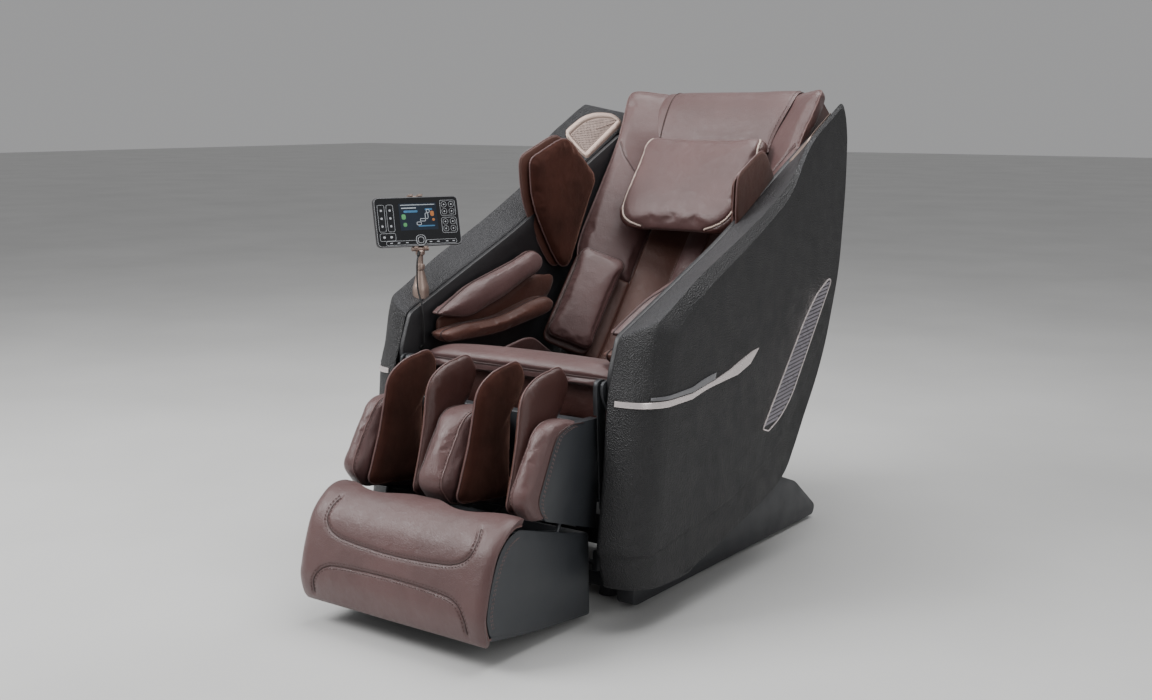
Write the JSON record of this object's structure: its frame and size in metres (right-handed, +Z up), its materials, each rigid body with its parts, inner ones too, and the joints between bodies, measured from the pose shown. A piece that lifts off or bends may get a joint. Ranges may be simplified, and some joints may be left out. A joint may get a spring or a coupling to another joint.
{
  "type": "massage chair",
  "caption": "Massage chair: body rocks back on a cradle base, legrest lifts with a sliding foot box, roller carriage behind the back, tablet on a stem.",
  "frame": {"origin": "on the floor, under the centre of the chair's box", "axes": "+Z up, -Y the way the sitter faces, +X the sitter's left"},
  "size_m": [0.7732, 1.4649, 1.1075],
  "materials": {
    "shell": "leather-grain textured charcoal",
    "base_shell": "smooth satin charcoal",
    "housing": "satin charcoal",
    "leather": "mauve-brown satin grain",
    "brown_leather": "red-brown grain",
    "suede": "dark brown brushed suede",
    "frame_steel": "black powder coat",
    "rod_steel": "polished",
    "silver_trim": "pinkish silver satin",
    "champagne": "champagne satin",
    "plastic": "black",
    "rubber": "black",
    "tablet_glass": "black glass"
  },
  "bodies": {
    "base": {"base_frame": "frame_steel", "base_cover_left": "base_shell", "base_cover_right": "base_shell", "base_rear_cover": "base_shell", "power_panel": "plastic", "air_pump": "plastic", "control_box": "plastic", "tilt_gear_motor": "plastic"},
    "wheel_left": {"transport_wheel_left": "rubber"},
    "wheel_right": {"transport_wheel_right": "rubber"},
    "rocker": {"power_switch": "plastic"},
    "roller_front": {"cradle_roller_front": "frame_steel"},
    "roller_rear": {"cradle_roller_rear": "frame_steel"},
    "upper": {"seat_frame": "frame_steel", "back_frame": "frame_steel", "side_panel_left": "shell", "side_panel_right": "shell", "light_strip_left": "silver_trim", "light_strip_right": "silver_trim", "vent_grille_left": "silver_trim", "vent_grille_right": "silver_trim", "arm_wall_left": "shell", "arm_wall_right": "shell", "hip_pad_left": "leather", "hip_pad_right": "leather", "shoulder_pad_left": "suede", "shoulder_pad_right": "suede", "upper_arm_pad_left": "leather", "upper_arm_pad_right": "leather", "lower_arm_pad_left": "brown_leather", "lower_arm_pad_right": "brown_leather", "speaker_left": "champagne", "speaker_right": "champagne", "back_cover": "shell", "back_cushion": "leather", "head_pillow": "leather", "head_flap": "leather", "seat_cushion": "leather", "holder_base": "champagne", "tablet_cable": "rubber"},
    "carriage": {"massage_carriage": "frame_steel"},
    "head_left": {"massage_head_left": "plastic"},
    "head_right": {"massage_head_right": "plastic"},
    "legrest_motor": {"legrest_motor": "plastic"},
    "legrest_rod": {"legrest_rod": "rod_steel"},
    "legrest": {"legrest_frame": "frame_steel", "calf_housing": "housing", "calf_cover": "leather", "calf_pad_outer_left": "suede", "calf_pad_outer_right": "suede", "calf_pad_inner_left": "suede", "calf_pad_inner_right": "suede"},
    "foot": {"foot_box": "housing", "foot_cover": "leather"},
    "foot_roller_left": {"foot_roller_left": "plastic"},
    "foot_roller_right": {"foot_roller_right": "plastic"},
    "holder": {"holder_stem": "champagne"},
    "tablet": {"tablet": "tablet_glass", "tablet_clamp": "champagne"}
  },
  "joints": [
    {"name": "recline", "type": "hinge", "parent": "base", "child": "upper", "pos_m": [0, -0.267, 0.83], "axis": [-1, 0, 0], "range_deg": [0, 26]},
    {"name": "wheel_spin_left", "type": "hinge", "parent": "base", "child": "wheel_left", "pos_m": [0.218, 0.528, 0.027], "axis": [1, 0, 0], "continuous": true},
    {"name": "wheel_spin_right", "type": "hinge", "parent": "base", "child": "wheel_right", "pos_m": [-0.218, 0.528, 0.027], "axis": [1, 0, 0], "continuous": true},
    {"name": "power_rocker", "type": "hinge", "parent": "base", "child": "rocker", "pos_m": [0.023, 0.554, 0.033], "axis": [1, 0, 0], "range_deg": [-5, 5]},
    {"name": "roller_spin_front", "type": "hinge", "parent": "base", "child": "roller_front", "pos_m": [0, -0.2404, 0.0675], "axis": [1, 0, 0], "range_deg": [0, 970]},
    {"name": "roller_spin_rear", "type": "hinge", "parent": "base", "child": "roller_rear", "pos_m": [0, -0.0312, 0.1043], "axis": [1, 0, 0], "range_deg": [0, 970]},
    {"name": "legrest_lift", "type": "hinge", "parent": "upper", "child": "legrest", "pos_m": [0, -0.377, 0.5], "axis": [-1, 0, 0], "range_deg": [0, 60]},
    {"name": "foot_extend", "type": "slide", "parent": "legrest", "child": "foot", "axis": [0, -0.4448, -0.8956], "range_m": [0, 0.12]},
    {"name": "legrest_motor_swing", "type": "hinge", "parent": "upper", "child": "legrest_motor", "pos_m": [0, 0.033, 0.296], "axis": [1, 0, 0], "range_deg": [-6, 0]},
    {"name": "legrest_rod_slide", "type": "slide", "parent": "legrest_motor", "child": "legrest_rod", "axis": [0, -1, 0], "range_m": [0, 0.206]},
    {"name": "foot_roller_spin_left", "type": "hinge", "parent": "foot", "child": "foot_roller_left", "pos_m": [0, -0.517, 0.082], "axis": [1, 0, 0], "continuous": true},
    {"name": "foot_roller_spin_right", "type": "hinge", "parent": "foot", "child": "foot_roller_right", "pos_m": [0, -0.517, 0.082], "axis": [1, 0, 0], "continuous": true},
    {"name": "carriage_travel", "type": "slide", "parent": "upper", "child": "carriage", "axis": [0, 0.6157, 0.788], "range_m": [0, 0.42]},
    {"name": "head_rock_left", "type": "hinge", "parent": "carriage", "child": "head_left", "pos_m": [0, 0.3314, 0.4595], "axis": [1, 0, 0], "range_deg": [-6, 6]},
    {"name": "head_rock_right", "type": "hinge", "parent": "carriage", "child": "head_right", "pos_m": [0, 0.3314, 0.4595], "axis": [1, 0, 0], "range_deg": [-6, 6]},
    {"name": "holder_swivel", "type": "hinge", "parent": "upper", "child": "holder", "pos_m": [-0.307, -0.287, 0.7], "axis": [0, 0, 1], "range_deg": [-50, 50]},
    {"name": "tablet_tilt", "type": "hinge", "parent": "holder", "child": "tablet", "pos_m": [-0.307, -0.287, 0.744], "axis": [0.4384, 0.8988, 0], "range_deg": [-12, 12]}
  ],
  "couplings": [
    {"joint": "roller_spin_front", "follows": "recline", "ratio": 37.1},
    {"joint": "roller_spin_rear", "follows": "recline", "ratio": 37.1},
    {"joint": "foot_extend", "follows": "legrest_lift", "m_per_rad": 0.1145},
    {"joint": "legrest_motor_swing", "follows": "legrest_lift", "ratio": -0.09468},
    {"joint": "legrest_rod_slide", "follows": "legrest_lift", "m_per_rad": 0.19536}
  ]
}
